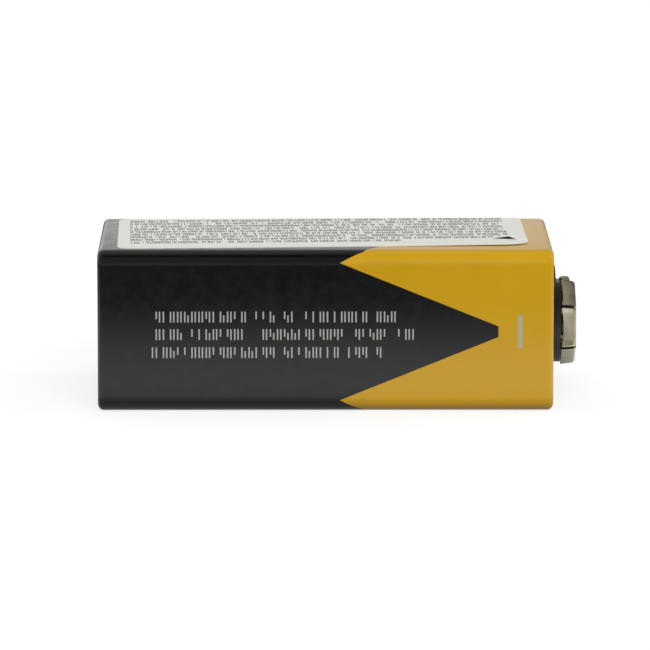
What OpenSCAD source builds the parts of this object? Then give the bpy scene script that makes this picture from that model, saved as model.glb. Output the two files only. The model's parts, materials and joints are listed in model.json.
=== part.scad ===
// Nine volt battery of the 6LR61 size, lying on one wide face.
// Six round cells stand in two rows of three inside a steel jacket whose ends are curled over
// a terminal board and a bottom cover. The stud and the socket of the snap contact are riveted
// to the board. The narrow side faces -Y, the terminals face +X and the label faces +Z.
// The origin is the middle of the footprint. Each piece is drawn standing, terminals up, with
// x across the thickness and y across the width, and lay_down() puts it in its place.

/* [Jacket] */
// Length of the jacket over its two curled ends
jacket_l = 46.1; // [44:0.1:50]
// Width of the jacket over its two narrow sides
jacket_w = 26; // [25:0.1:29]
// Thickness of the jacket over its two wide faces
jacket_t = 16.4; // [15.5:0.1:17.5]
// Radius of the four long corners
corner_r = 1.5; // [1.4:0.1:2.4]
// Thickness of the steel sheet
sheet_t = 0.2; // [0.15:0.05:0.3]
// Outer radius of the curl at each end
curl_r = 0.6; // [0.5:0.05:0.8]
// How far the curled lip reaches in over a cover
lip_reach = 1.1; // [0.9:0.05:1.3]
// Width of the seam where the edges of the sheet meet, along the far narrow side
seam_w = 0.15; // [0.1:0.05:0.3]
// Depth of the seam
seam_depth = 0.1; // [0.05:0.01:0.12]

/* [Covers] */
// Thickness of each cover where the lip holds it
cover_t = 1; // [0.8:0.1:1.4]
// How far the middle of a cover stays below the end of the jacket
cover_sink = 0.1; // [0.05:0.05:0.15]
// Height of the round boss under each terminal, over the end of the jacket
boss_h = 0.85; // [0.5:0.05:1]
// Diameter of the boss
boss_d = 8.1; // [7.6:0.1:9]
// Depth of the seat in the boss that a terminal stands in
seat_depth = 0.6; // [0.4:0.1:0.8]
// Wall of the skirt that presses on the cells
skirt_t = 0.8; // [0.6:0.1:1.2]

/* [Terminals] */
// Distance between the two terminals
terminal_pitch = 12.7; // [12.4:0.1:13]
// Height of both terminals over the end of the jacket
terminal_h = 2.4; // [2.1:0.1:2.6]
// Thickness of the terminal sheet
terminal_sheet = 0.25; // [0.2:0.05:0.3]
// Diameter of the head of the stud, and of the bore that the socket grips it with
snap_d = 5.76; // [5.6:0.02:5.9]
// How much slimmer the neck of the stud is than its head
neck_cut = 0.5; // [0.3:0.1:0.6]
// Height of the head of the stud
stud_head_h = 1.1; // [0.9:0.1:1.3]
// Diameter of the well in the middle of the stud
stud_well_d = 3.5; // [3.4:0.1:3.8]
// Diameter of the foot of each terminal in its seat
terminal_foot_d = 6.7; // [6.5:0.1:7]
// Height of the throat of the socket, which grips the head of a stud
throat_h = 1.05; // [0.9:0.05:1.1]
// Width of the six-sided crown of the socket across its flats
crown_flats = 7.4; // [7.3:0.1:8]
// Width of the slits that part the six petals of the crown
crown_slit = 0.3; // [0.2:0.05:0.5]
// How far the free edge of each petal is arched
petal_arch = 0.2; // [0.1:0.05:0.3]
// Radius of the folds along the top of stud and crown
fold_r = 0.35; // [0.3:0.05:0.4]

/* [Rivets] */
// Diameter of the shank of each tubular rivet
rivet_d = 2.2; // [1.8:0.1:2.4]
// Bore of the rivets
rivet_bore = 1.2; // [0.8:0.1:1.4]
// Diameter of the rolled head and tail of the rivets
rivet_head_d = 3.2; // [2.8:0.1:3.3]
// Thickness of the rolled head and tail of the rivets
rivet_head_t = 0.3; // [0.2:0.05:0.35]

/* [Cells] */
// Gap between the two rows of cells, and the least gap between their columns
cell_gap = 0.2; // [0.1:0.05:0.3]
// Free height over the cells for the leads
lead_space = 2.9; // [2:0.1:4]
// Diameter of the raised contact at the positive end of a cell
nub_d = 3.6; // [3:0.1:4.4]
// Height of the raised contact at the positive end of a cell
nub_h = 0.5; // [0.3:0.1:0.8]
// Radius of the drawn edge at the positive end of a cell
can_edge_r = 0.5; // [0.3:0.1:0.8]
// Depth of the bead rolled into the can below its seal
bead_depth = 0.25; // [0.15:0.05:0.4]
// Distance of the bead from the negative end of the cell
bead_drop = 2.6; // [2.2:0.1:4]
// Wall of the can where it is crimped over the seal
can_wall = 0.25; // [0.2:0.05:0.35]
// Width of the crimped rim
rim_w = 1; // [0.8:0.1:1.3]
// Width of the ring of seal that shows between rim and cap
seal_ring = 0.5; // [0.4:0.05:0.7]
// Thickness of the seal under the cap
seal_t = 0.7; // [0.5:0.1:1]
// Height of the negative cap over the crimped rim
cap_proud = 0.15; // [0.1:0.05:0.3]

/* [Straps and insulation] */
// Thickness of the nickel strip of links and leads
strip_t = 0.15; // [0.1:0.05:0.2]
// Width of the links between cells
link_w = 3; // [2.4:0.1:3.6]
// Width of the leads to the terminals
lead_w = 4.4; // [3.8:0.1:4.6]
// Distance from the axis of a rivet to the step in its lead
lead_turn = 2.4; // [2.3:0.1:2.8]
// Inner radius of the bends in the leads
bend_r = 0.3; // [0.2:0.05:0.4]
// Diameter of the weld marks in the strips
weld_d = 0.7; // [0.5:0.1:0.9]
// Depth of the weld marks
weld_depth = 0.06; // [0.04:0.01:0.08]
// Distance between the two weld marks on each cell
weld_pitch = 1.4; // [1.2:0.1:1.6]
// Thickness of the card washer over the cells
top_card_t = 0.4; // [0.3:0.1:0.8]
// Thickness of the card under the cells
bottom_card_t = 0.3; // [0.2:0.1:0.8]
// Thickness of the sleeve round the cells
sleeve_t = 0.1; // [0.1:0.05:0.2]

/* [Label] */
// Length of the label on the wide face
label_l = 41.8; // [36:0.1:42.3]
// Width of the label
label_w = 22; // [18:0.1:22.8]
// Thickness of the label
label_t = 0.08; // [0.06:0.01:0.12]
// Radius of its corners
label_r = 1.2; // [0.5:0.1:3]
// Distance from the bottom end of the jacket to the label
label_end_gap = 1.7; // [1:0.1:3.5]
// How far behind the middle of the face the label was stuck on
label_shift = 0.45; // [0:0.05:0.6]
// Angle at which the label was stuck on, in degrees
label_skew = 1.5; // [0:0.1:2]

/* [Hidden] */
CELLS = 6;
$fn = 48;
// Clearance between pieces that are pushed into each other
fit = 0.05;
// Overshoot of cuts past the surface that they open
cut = 1;

overall_l = jacket_l + terminal_h;

// Covers
cavity_t = jacket_t - 2 * (sheet_t + fit);
cavity_w = jacket_w - 2 * (sheet_t + fit);
cavity_r = corner_r - sheet_t - fit;
board_z = jacket_l - sheet_t - cover_t;
floor_z = sheet_t + cover_t;
cover_edge_r = curl_r - sheet_t;
panel_inset = lip_reach + fit;
boss_z = jacket_l + boss_h;
seat_z = boss_z - seat_depth;

// Cells
bore_t = cavity_t - 2 * sleeve_t;
bore_w = cavity_w - 2 * sleeve_t;
cell_d = min((bore_t - cell_gap - 2 * fit) / 2, (bore_w - 2 * cell_gap - 2 * fit) / 3);
row_pitch = cell_d + cell_gap;
column_pitch = (bore_w - cell_d) / 2 - fit;
cell_z = floor_z + bottom_card_t + strip_t;
cell_l = board_z - lead_space - top_card_t - strip_t - cell_z + strip_t;
cell_top = cell_z + cell_l;
card_z = cell_top + strip_t;

// Terminals
terminal_top = terminal_h - boss_h + seat_depth;
crown_gap = 0.05;
lead_shift = (column_pitch - terminal_pitch / 2) / 2;
lead_foot_end = row_pitch / 2 + link_w / 2;

// Place of a cell: x is its row, y its column, walked so that neighbours in the chain touch
function cell_row(k) = (k == 1 || k == 4 || k == 5) ? 1 : -1;
function cell_column(k) = floor((k - 1) / 2) - 1;
function cell_place(k) = [cell_row(k) * row_pitch / 2, cell_column(k) * column_pitch];
function negative_up(k) = k % 2 == 1;

module lay_down() {
    translate([-overall_l / 2, 0, jacket_t / 2]) rotate([0, 90, 0]) children();
}

// Rectangle with round corners, t across x and w across y
module round_rect(t, w, r) {
    square([t - 2 * r, w], center = true);
    square([t, w - 2 * r], center = true);
    for (x = [-1, 1], y = [-1, 1])
        translate([x * (t / 2 - r), y * (w / 2 - r)]) circle(r);
}

// Carries a profile round a rectangle with round corners: the profile's x is measured
// outwards from the middle of a corner, and its y is the height
module round_frame(t, w, r) {
    for (i = [0:3]) {
        side = i % 2 == 0 ? [t, w] : [w, t];
        rotate([0, 0, 90 * i]) {
            translate([side[0] / 2 - r, side[1] / 2 - r, 0]) rotate_extrude(angle = 90) children();
            translate([side[0] / 2 - r, 0, 0]) rotate([90, 0, 0])
                linear_extrude(side[1] - 2 * r, center = true) children();
        }
    }
}

// Plate with round corners whose upper edge is rounded
module soft_plate(t, w, r, h, edge) {
    linear_extrude(h - edge) round_rect(t, w, r);
    linear_extrude(h) round_rect(t - 2 * edge, w - 2 * edge, r - edge);
    translate([0, 0, h - edge]) round_frame(t, w, r) translate([r - edge, 0]) quarter_disc(edge);
}

module quarter_disc(r) {
    intersection() {
        circle(r);
        square(r);
    }
}

// Quarter of a ring, the section of a bend in sheet
module quarter_ring(r, sheet) {
    difference() {
        quarter_disc(r);
        circle(r - sheet);
    }
}

// Round bar from one place to another, seen from above
module strip_outline(length, width) {
    translate([0, -width / 2]) square([length, width]);
    circle(width / 2);
    translate([length, 0]) circle(width / 2);
}

// Two weld marks beside each other, sunk from the upper face
module weld_marks(top) {
    for (side = [-1, 1])
        translate([side * weld_pitch / 2, 0, top - weld_depth]) cylinder(d = weld_d, h = cut);
}

// Jacket

module curl_profile() {
    translate([corner_r - curl_r, curl_r]) mirror([0, 1]) quarter_ring(curl_r, sheet_t);
    translate([corner_r - lip_reach, 0]) square([lip_reach - curl_r, sheet_t]);
}

module jacket() {
    color("goldenrod") lay_down() difference() {
        round_frame(jacket_t, jacket_w, corner_r) union() {
            translate([corner_r - sheet_t, curl_r]) square([sheet_t, jacket_l - 2 * curl_r]);
            curl_profile();
            translate([0, jacket_l]) mirror([0, 1]) curl_profile();
        }
        translate([-seam_w / 2, jacket_w / 2 - seam_depth, -cut])
            cube([seam_w, seam_depth + cut, jacket_l + 2 * cut]);
    }
}

module label() {
    color("whitesmoke") lay_down()
        translate([-jacket_t / 2, label_shift, label_end_gap + label_l / 2]) rotate([0, -90, 0])
            rotate([0, 0, label_skew]) linear_extrude(label_t) round_rect(label_l, label_w, label_r);
}

// Covers

// Plate held by a curled lip, with a middle that fills the mouth of the jacket
module cover_plate() {
    soft_plate(cavity_t, cavity_w, cavity_r, cover_t, cover_edge_r);
    linear_extrude(cover_t + sheet_t - cover_sink)
        round_rect(jacket_t - 2 * panel_inset, jacket_w - 2 * panel_inset, corner_r / 2);
}

module at_terminals() {
    for (side = [-1, 1]) translate([0, side * terminal_pitch / 2, 0]) children();
}

module top_cover() {
    color("#1c1c1c") lay_down() difference() {
        union() {
            translate([0, 0, board_z]) cover_plate();
            at_terminals() translate([0, 0, board_z]) cylinder(d = boss_d, h = boss_z - board_z);
            translate([0, 0, card_z + top_card_t])
                linear_extrude(board_z - card_z - top_card_t) difference() {
                    round_rect(cavity_t, cavity_w, cavity_r);
                    round_rect(cavity_t - 2 * skirt_t, cavity_w - 2 * skirt_t, cavity_r / 2);
                }
        }
        at_terminals() {
            translate([0, 0, seat_z]) cylinder(d = terminal_foot_d + 2 * fit, h = seat_depth + cut);
            translate([0, 0, board_z - cut]) cylinder(d = rivet_d + 2 * fit, h = boss_z);
        }
    }
}

module bottom_cover() {
    color("#1c1c1c") lay_down() translate([0, 0, floor_z]) mirror([0, 0, 1]) cover_plate();
}

// Terminals, drawn with their foot at z = 0

module stud_section() {
    head_r = snap_d / 2;
    neck_r = (snap_d - neck_cut) / 2;
    well_r = stud_well_d / 2;
    difference() {
        union() {
            square([neck_r, terminal_top - stud_head_h / 2]);
            square([terminal_foot_d / 2, terminal_sheet]);
            translate([0, terminal_top - stud_head_h]) square([head_r - fold_r, stud_head_h]);
            translate([0, terminal_top - stud_head_h + fold_r])
                square([head_r, stud_head_h - 2 * fold_r]);
            for (y = [terminal_top - fold_r, terminal_top - stud_head_h + fold_r])
                translate([head_r - fold_r, y]) circle(fold_r);
        }
        translate([0, terminal_sheet]) square([well_r, terminal_top]);
        translate([0, -cut]) square([rivet_d / 2 + fit, terminal_top]);
        translate([well_r + terminal_sheet, -cut])
            square([neck_r - well_r - 2 * terminal_sheet, terminal_top - terminal_sheet + cut]);
    }
}

module positive_stud() {
    color("silver") lay_down() translate([0, terminal_pitch / 2, seat_z])
        rotate_extrude() stud_section();
}

// Inner cup of the socket with the inner half of its fold
module socket_cup_section() {
    grip_r = snap_d / 2;
    foot_r = terminal_foot_d / 2 - terminal_sheet;
    throat_z = terminal_top - fold_r - throat_h;
    taper_z = throat_z - (foot_r - grip_r);
    hole_r = rivet_d / 2 + fit;
    translate([hole_r, 0]) square([foot_r + terminal_sheet - hole_r, terminal_sheet]);
    translate([foot_r, 0]) square([terminal_sheet, taper_z]);
    polygon([
        [foot_r, taper_z],
        [foot_r + terminal_sheet, taper_z],
        [grip_r + terminal_sheet, throat_z],
        [grip_r, throat_z]
    ]);
    translate([grip_r, throat_z]) square([terminal_sheet, throat_h]);
    translate([grip_r + fold_r, terminal_top - fold_r]) mirror([1, 0]) quarter_ring(fold_r, terminal_sheet);
}

// One flat petal of the crown with the outer half of the fold
module crown_flap() {
    flat_r = crown_flats / 2;
    foot = seat_depth + crown_gap;
    side = crown_flats / sqrt(3);
    arch_r = (side * side / 4 + petal_arch * petal_arch) / (2 * petal_arch);
    difference() {
        rotate([90, 0, 0]) linear_extrude(side, center = true) {
            translate([flat_r - terminal_sheet, foot])
                square([terminal_sheet, terminal_top - fold_r - foot]);
            translate([flat_r - fold_r, terminal_top - fold_r]) quarter_ring(fold_r, terminal_sheet);
        }
        translate([flat_r - terminal_sheet - fit, 0, foot + petal_arch - arch_r]) rotate([0, 90, 0])
            cylinder(r = arch_r, h = terminal_sheet + cut);
    }
}

module crown_top() {
    grip_r = snap_d / 2;
    rim = crown_flats - 2 * fold_r;
    translate([0, 0, terminal_top - terminal_sheet]) linear_extrude(terminal_sheet) difference() {
        rotate(30) circle(d = rim / cos(30), $fn = 6);
        circle(grip_r + fold_r);
    }
}

module negative_socket() {
    color("silver") lay_down() translate([0, -terminal_pitch / 2, seat_z]) rotate([0, 0, 30]) difference() {
        union() {
            rotate_extrude() socket_cup_section();
            crown_top();
            for (i = [0:5]) rotate([0, 0, 60 * i]) intersection() {
                crown_flap();
                linear_extrude(terminal_top + cut)
                    polygon([[0, 0], [crown_flats, crown_flats * tan(30)], [crown_flats, -crown_flats * tan(30)]]);
            }
        }
        for (i = [0:5]) rotate([0, 0, 60 * i + 30])
            translate([snap_d / 4, -crown_slit / 2, 2 * terminal_sheet])
                cube([crown_flats, crown_slit, terminal_top]);
    }
}

module rivet_section() {
    grip_bottom = board_z - strip_t - seat_z;
    bore_r = rivet_bore / 2;
    for (end = [[terminal_sheet, rivet_head_t], [grip_bottom - rivet_head_t, rivet_head_t]])
        translate([bore_r, end[0]]) {
            square([(rivet_head_d - rivet_head_t) / 2 - bore_r, end[1]]);
            translate([(rivet_head_d - rivet_head_t) / 2 - bore_r, end[1] / 2]) circle(d = rivet_head_t);
        }
    translate([bore_r, grip_bottom - rivet_head_t / 2])
        square([rivet_d / 2 - bore_r, terminal_sheet + rivet_head_t - grip_bottom]);
}

module terminal_rivets() {
    color("gainsboro") lay_down() at_terminals() translate([0, 0, seat_z])
        rotate_extrude() rivet_section();
}

// Leads: an eye under the board, a step down, and a foot on the end of the cell

module lead_profile() {
    top = board_z - cell_top;
    bend = bend_r + strip_t;
    translate([0, top - strip_t]) square([lead_turn - bend_r, strip_t]);
    translate([lead_turn - bend_r, top - bend]) quarter_ring(bend, strip_t);
    translate([lead_turn, bend]) square([strip_t, top - 2 * bend]);
    translate([lead_turn + bend, bend]) rotate(180) quarter_ring(bend, strip_t);
    translate([lead_turn + bend, 0]) square([lead_foot_end - lead_turn - bend, strip_t]);
}

module lead() {
    top = board_z - cell_top;
    difference() {
        union() {
            translate([0, -lead_shift, 0]) rotate([90, 0, 0])
                linear_extrude(lead_w, center = true) lead_profile();
            translate([0, 0, top - strip_t]) cylinder(d = lead_w, h = strip_t);
        }
        translate([0, 0, top - strip_t - cut]) cylinder(d = rivet_d + 2 * fit, h = 2 * cut + strip_t);
        translate([row_pitch / 2, -2 * lead_shift, 0]) rotate([0, 0, 45]) weld_marks(strip_t);
    }
}

module negative_lead() {
    color("lightsteelblue") lay_down() translate([0, -terminal_pitch / 2, cell_top]) lead();
}

module positive_lead() {
    color("lightsteelblue") lay_down() rotate([0, 0, 180])
        translate([0, -terminal_pitch / 2, cell_top]) lead();
}

module cell_link(k) {
    from = cell_place(k);
    step = cell_place(k + 1) - from;
    length = norm(step);
    color("lightsteelblue") lay_down()
        translate([from[0], from[1], k % 2 == 1 ? cell_z - strip_t : cell_top])
            rotate([0, 0, atan2(step[1], step[0])])
                translate([0, 0, k % 2 == 1 ? strip_t : 0]) mirror([0, 0, k % 2 == 1 ? 1 : 0])
                    difference() {
                        linear_extrude(strip_t) strip_outline(length, link_w);
                        for (x = [0, length]) translate([x, 0, 0]) weld_marks(strip_t);
                    }
}

// Insulation

module card_outline() {
    round_rect(bore_t - 2 * fit, bore_w - 2 * fit, cavity_r - sleeve_t);
}

module top_card() {
    window = 2 * fit + bend_r;
    color("tan") lay_down() translate([0, 0, card_z]) linear_extrude(top_card_t) difference() {
        card_outline();
        for (turn = [0, 180]) rotate(turn)
            translate([lead_turn - window, -(terminal_pitch + lead_w) / 2 - lead_shift - window])
                square([lead_foot_end - lead_turn + 2 * window, lead_w + 2 * window]);
    }
}

module bottom_card() {
    color("tan") lay_down() translate([0, 0, floor_z]) linear_extrude(bottom_card_t) card_outline();
}

module cell_sleeve() {
    color("white") lay_down() translate([0, 0, floor_z])
        linear_extrude(card_z + top_card_t - floor_z) difference() {
            round_rect(cavity_t, cavity_w, cavity_r);
            round_rect(bore_t, bore_w, cavity_r - sleeve_t);
        }
}

// Cells, drawn with the positive contact at z = 0

rim_z = cell_l - cap_proud;
seal_z = rim_z - can_wall - seal_t;
rim_open_r = cell_d / 2 - rim_w;
cap_r = rim_open_r - seal_ring;

module place_cell(k) {
    lay_down() translate([cell_place(k)[0], cell_place(k)[1], cell_z + (negative_up(k) ? 0 : cell_l)])
        rotate([negative_up(k) ? 0 : 180, 0, 0]) children();
}

module can_section() {
    r = cell_d / 2;
    difference() {
        union() {
            square([nub_d / 2 - nub_h / 2, rim_z]);
            translate([0, nub_h / 2]) square([nub_d / 2, rim_z - nub_h]);
            translate([nub_d / 2 - nub_h / 2, nub_h / 2]) circle(d = nub_h);
            translate([0, nub_h]) square([r - can_edge_r, rim_z - nub_h]);
            translate([0, nub_h + can_edge_r]) square([r, rim_z - nub_h - 2 * can_edge_r]);
            for (y = [nub_h + can_edge_r, rim_z - can_edge_r])
                translate([r - can_edge_r, y]) circle(can_edge_r);
        }
        translate([0, seal_z]) square([r - can_wall, seal_t]);
        translate([0, seal_z]) square([rim_open_r, rim_z]);
        translate([r + bead_depth, cell_l - bead_drop]) circle(2 * bead_depth);
        mirror([1, 0]) translate([0, -cut]) square([r, cell_l + 2 * cut]);
    }
}

module cell_can(k) {
    color("lightgray") place_cell(k) rotate_extrude() can_section();
}

module cell_seal(k) {
    color("royalblue") place_cell(k) translate([0, 0, seal_z]) difference() {
        union() {
            cylinder(r = cell_d / 2 - can_wall, h = seal_t);
            cylinder(r = rim_open_r, h = seal_t + can_wall);
        }
        translate([0, 0, seal_t]) cylinder(r = cap_r, h = cut);
    }
}

module cell_cap(k) {
    edge = cap_proud / 2;
    cap_t = can_wall + cap_proud;
    color("silver") place_cell(k) translate([0, 0, seal_z + seal_t]) rotate_extrude() {
        square([cap_r, cap_t - edge]);
        square([cap_r - edge, cap_t]);
        translate([cap_r - edge, cap_t - edge]) quarter_disc(edge);
    }
}

jacket();
label();
top_cover();
bottom_cover();
positive_stud();
negative_socket();
terminal_rivets();
positive_lead();
negative_lead();
top_card();
bottom_card();
cell_sleeve();
for (k = [1:CELLS - 1]) cell_link(k);
for (k = [1:CELLS]) cell_can(k);
for (k = [1:CELLS]) cell_seal(k);
for (k = [1:CELLS]) cell_cap(k);
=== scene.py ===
import json
import math

import bmesh
import bpy
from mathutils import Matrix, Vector


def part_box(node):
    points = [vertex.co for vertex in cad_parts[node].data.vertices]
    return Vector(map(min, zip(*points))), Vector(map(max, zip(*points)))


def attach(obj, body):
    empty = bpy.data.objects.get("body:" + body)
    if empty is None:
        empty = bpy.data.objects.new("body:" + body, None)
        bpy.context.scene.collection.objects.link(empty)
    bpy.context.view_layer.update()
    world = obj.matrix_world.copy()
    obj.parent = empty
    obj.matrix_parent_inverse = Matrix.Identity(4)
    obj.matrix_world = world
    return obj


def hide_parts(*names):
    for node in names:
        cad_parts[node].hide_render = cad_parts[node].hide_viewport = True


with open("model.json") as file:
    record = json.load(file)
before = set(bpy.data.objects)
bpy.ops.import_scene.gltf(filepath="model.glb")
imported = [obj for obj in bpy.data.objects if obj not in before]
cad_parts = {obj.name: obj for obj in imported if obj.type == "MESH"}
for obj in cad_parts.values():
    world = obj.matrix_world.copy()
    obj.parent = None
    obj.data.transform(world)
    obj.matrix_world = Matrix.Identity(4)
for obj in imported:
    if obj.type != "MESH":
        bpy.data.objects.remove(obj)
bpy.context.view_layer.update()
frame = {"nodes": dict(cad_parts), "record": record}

MM = 0.001
nodes = frame["nodes"]

# Places taken from the frame, in metres
JACKET_LOW, JACKET_HIGH = (Vector(corner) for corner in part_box("jacket"))
JACKET_MID = (JACKET_LOW + JACKET_HIGH) / 2
JACKET_SIZE = JACKET_HIGH - JACKET_LOW

# The jacket's sheet, in mm, as the frame has it: bent long corners, curled ends, wall and seam at the back
CORNER_RADIUS = 1.5
CORNER_STEPS = 12
CURL_RADIUS = 0.6
CURL_STEPS = 8
LIP_REACH = 1.1
SHEET_THICK = 0.2
SEAM_WIDTH = 0.15
SEAM_DEPTH = 0.1

# Two places in mm that lie less than this apart are taken as one
CLOSE = 1e-3
# A face whose normal reaches this far along an axis faces that way
FACING = 0.999


# Tools for materials

def linear(hex_colour):
    """A colour written as sRGB hex, in the linear values that Blender works in."""
    channels = [int(hex_colour[i:i + 2], 16) / 255 for i in (1, 3, 5)]
    return tuple(c / 12.92 if c <= 0.04045 else ((c + 0.055) / 1.055) ** 2.4 for c in channels) + (1.0,)


def add_node(tree, kind, settings=None, inputs=None):
    """Adds one node. An input is linked where it is given a socket, and set where it is given a value."""
    node = tree.nodes.new(kind)
    for name, value in (settings or {}).items():
        setattr(node, name, value)
    for name, value in (inputs or {}).items():
        if isinstance(value, bpy.types.NodeSocket):
            tree.links.new(value, node.inputs[name])
        else:
            node.inputs[name].default_value = value
    return node


def new_material(name, **constants):
    """A material and its surface shader. What is the same all over is set on the shader's own sockets."""
    material = bpy.data.materials.new(name)
    material.use_nodes = True
    tree = material.node_tree
    shader = tree.nodes["Principled BSDF"]
    for socket, value in constants.items():
        shader.inputs[socket.replace("_", " ")].default_value = value
    return material, tree, shader


def place_in_mm(tree):
    """The point on the piece, in millimetres."""
    point = add_node(tree, "ShaderNodeTexCoord").outputs["Object"]
    return add_node(tree, "ShaderNodeVectorMath", {"operation": "SCALE"}, {
        0: point, "Scale": 1 / MM}).outputs[0]


def within(tree, value, centre, half, soft):
    """1 where value lies less than half from centre, falling to 0 over twice soft."""
    off = add_node(tree, "ShaderNodeMath", {"operation": "SUBTRACT"}, {0: value, 1: centre}).outputs[0]
    away = add_node(tree, "ShaderNodeMath", {"operation": "ABSOLUTE"}, {0: off}).outputs[0]
    return add_node(tree, "ShaderNodeMapRange", {"clamp": True}, {
        "Value": away, "From Min": half + soft, "From Max": half - soft}).outputs[0]


def over(tree, value, limit):
    """1 where value is more than limit."""
    return add_node(tree, "ShaderNodeMath", {"operation": "GREATER_THAN"}, {0: value, 1: limit}).outputs[0]


def both(tree, first, *others):
    """1 only where every mask is 1."""
    for other in others:
        first = add_node(tree, "ShaderNodeMath", {"operation": "MULTIPLY"}, {0: first, 1: other}).outputs[0]
    return first


def either(tree, first, *others):
    """1 where any of the masks is 1."""
    for other in others:
        first = add_node(tree, "ShaderNodeMath", {"operation": "MAXIMUM"}, {0: first, 1: other}).outputs[0]
    return first


def tint(tree, mask, below, above):
    """One colour over another, where the mask is 1."""
    return add_node(tree, "ShaderNodeMix", {"data_type": "RGBA"}, {0: mask, 6: below, 7: above}).outputs[2]


def grain(tree, point, size, detail=2.0):
    """Noise whose blots are about size across, in mm, from 0 to 1."""
    return add_node(tree, "ShaderNodeTexNoise", inputs={
        "Vector": point, "Scale": 1 / size, "Detail": detail}).outputs["Fac"]


# Most of a grain's values lie between these two
GRAIN_LOW = 0.3
GRAIN_HIGH = 0.7


def spread(tree, value, low, high):
    """Noise stretched so that it runs from low to high."""
    return add_node(tree, "ShaderNodeMapRange", {"clamp": True}, {
        "Value": value, "From Min": GRAIN_LOW, "From Max": GRAIN_HIGH,
        "To Min": low, "To Max": high}).outputs[0]


def relief(tree, shader, height, depth):
    """Bump, with its depth in metres."""
    bump = add_node(tree, "ShaderNodeBump", inputs={"Height": height, "Distance": depth, "Strength": 1.0})
    tree.links.new(bump.outputs[0], shader.inputs["Normal"])


# A dummy letter: where its two strokes stand, as shares of its width, and how soft their sides are
FIRST_STROKE = 0.27
SECOND_STROKE = 0.73
STROKE_SOFT = 0.04
# Share of the first strokes that stop above the foot of the line, and where they stop
RAISED_SHARE = 0.35
RAISED_FROM = 0.3
# Share of the second strokes that are left out, share that is left out or low, and where the low ones end
MISSING_SHARE = 0.25
LOW_SHARE = 0.5
LOW_UP_TO = 0.65
LOW_SOFT = 0.01


def dummy_letters(tree, along, up, row, letter, weight, gaps):
    """Pairs of upright strokes in groups like words, some of them short, which form no letters.

    up runs from 0 to 1 over the height of a line, row numbers the lines, and letter is the width that one
    letter takes up, in mm. weight is half the width of a stroke, as a share of the letter, and gaps is the
    share of the letters that is left out.
    """
    column = add_node(tree, "ShaderNodeMath", {"operation": "DIVIDE"}, {0: along, 1: letter}).outputs[0]
    cell = add_node(tree, "ShaderNodeMath", {"operation": "FLOOR"}, {0: column}).outputs[0]
    inside = add_node(tree, "ShaderNodeMath", {"operation": "SUBTRACT"}, {0: column, 1: cell}).outputs[0]
    key = add_node(tree, "ShaderNodeCombineXYZ", inputs={0: cell, 1: row}).outputs[0]
    dice = add_node(tree, "ShaderNodeTexWhiteNoise", {"noise_dimensions": "2D"}, {"Vector": key})
    chances = add_node(tree, "ShaderNodeSeparateColor", inputs={0: dice.outputs["Color"]}).outputs

    first = both(tree, within(tree, inside, FIRST_STROKE, weight, STROKE_SOFT),
                 either(tree, over(tree, chances[0], RAISED_SHARE), over(tree, up, RAISED_FROM)))
    low = within(tree, up, 0.0, LOW_UP_TO, LOW_SOFT)
    second = both(tree, within(tree, inside, SECOND_STROKE, weight, STROKE_SOFT),
                  over(tree, chances[1], MISSING_SHARE),
                  either(tree, over(tree, chances[1], LOW_SHARE), low))
    return both(tree, either(tree, first, second), over(tree, chances[2], gaps))


# The print of the jacket

# The edge between the two inks is made of straight lines on the flat sheet. Each goes through a place that is
# given in mm from the bottom end and in mm round the section from where the corner begins, and has a slope
NOTCH_ALONG = 24.5
NOTCH_ROUND = 0.3
SIDE_SLOPE = -0.403
CORNER_SLOPE = 0.56
WIDE_ALONG = 26.86
WIDE_ROUND = 1.62
WIDE_SLOPE = 1.6
# The black points are cut off here
POINT_END = 40.5
INK_SOFT = 0.05

# Rows of small print on the near side, in mm: height over the rest and where the row ends
PRINT_ROWS = ((9.72, 30.3), (7.93, 32.1), (6.09, 28.9))
ROW_START = 5.4
ROW_HALF = 0.55
ROW_SOFT = 0.03
ROW_END_SOFT = 0.02
PRINT_LETTER = 0.72
PRINT_WEIGHT = 0.1
PRINT_GAPS = 0.13
# Number of the first row, which sets what its strokes look like
FIRST_ROW = 11.0
# The signs of the poles, in mm: a bar on the near side and a plus on the far side
MARK_ALONG = 42.7
MARK_LONG = 1.68
MARK_HALF = 0.235
MARK_SOFT = 0.04
# The print of the narrow sides reaches this deep, in mm, which takes in the groove of the seam
PRINT_DEPTH = 0.15


def way_round(tree, height, depth):
    """The way round the section in mm, from where the corner begins on a narrow side."""
    flat_half = JACKET_SIZE.z / MM / 2 - CORNER_RADIUS
    past = add_node(tree, "ShaderNodeMath", {"operation": "SUBTRACT"}, {0: height, 1: flat_half}).outputs[0]
    above = add_node(tree, "ShaderNodeMath", {"operation": "MAXIMUM"}, {0: past, 1: 0.0}).outputs[0]
    under = add_node(tree, "ShaderNodeMath", {"operation": "MINIMUM"}, {0: past, 1: 0.0}).outputs[0]
    short = add_node(tree, "ShaderNodeMath", {"operation": "SUBTRACT"}, {
        0: CORNER_RADIUS, 1: depth}).outputs[0]
    turn = add_node(tree, "ShaderNodeMath", {"operation": "MAXIMUM"}, {0: short, 1: 0.0}).outputs[0]
    beyond = add_node(tree, "ShaderNodeMath", {"operation": "MINIMUM"}, {0: short, 1: 0.0}).outputs[0]
    angle = add_node(tree, "ShaderNodeMath", {"operation": "ARCTAN2"}, {0: above, 1: turn}).outputs[0]
    arc = add_node(tree, "ShaderNodeMath", {"operation": "MULTIPLY"}, {0: angle, 1: CORNER_RADIUS}).outputs[0]
    flat = add_node(tree, "ShaderNodeMath", {"operation": "SUBTRACT"}, {0: under, 1: beyond}).outputs[0]
    return add_node(tree, "ShaderNodeMath", {"operation": "ADD"}, {0: arc, 1: flat}).outputs[0]


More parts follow.
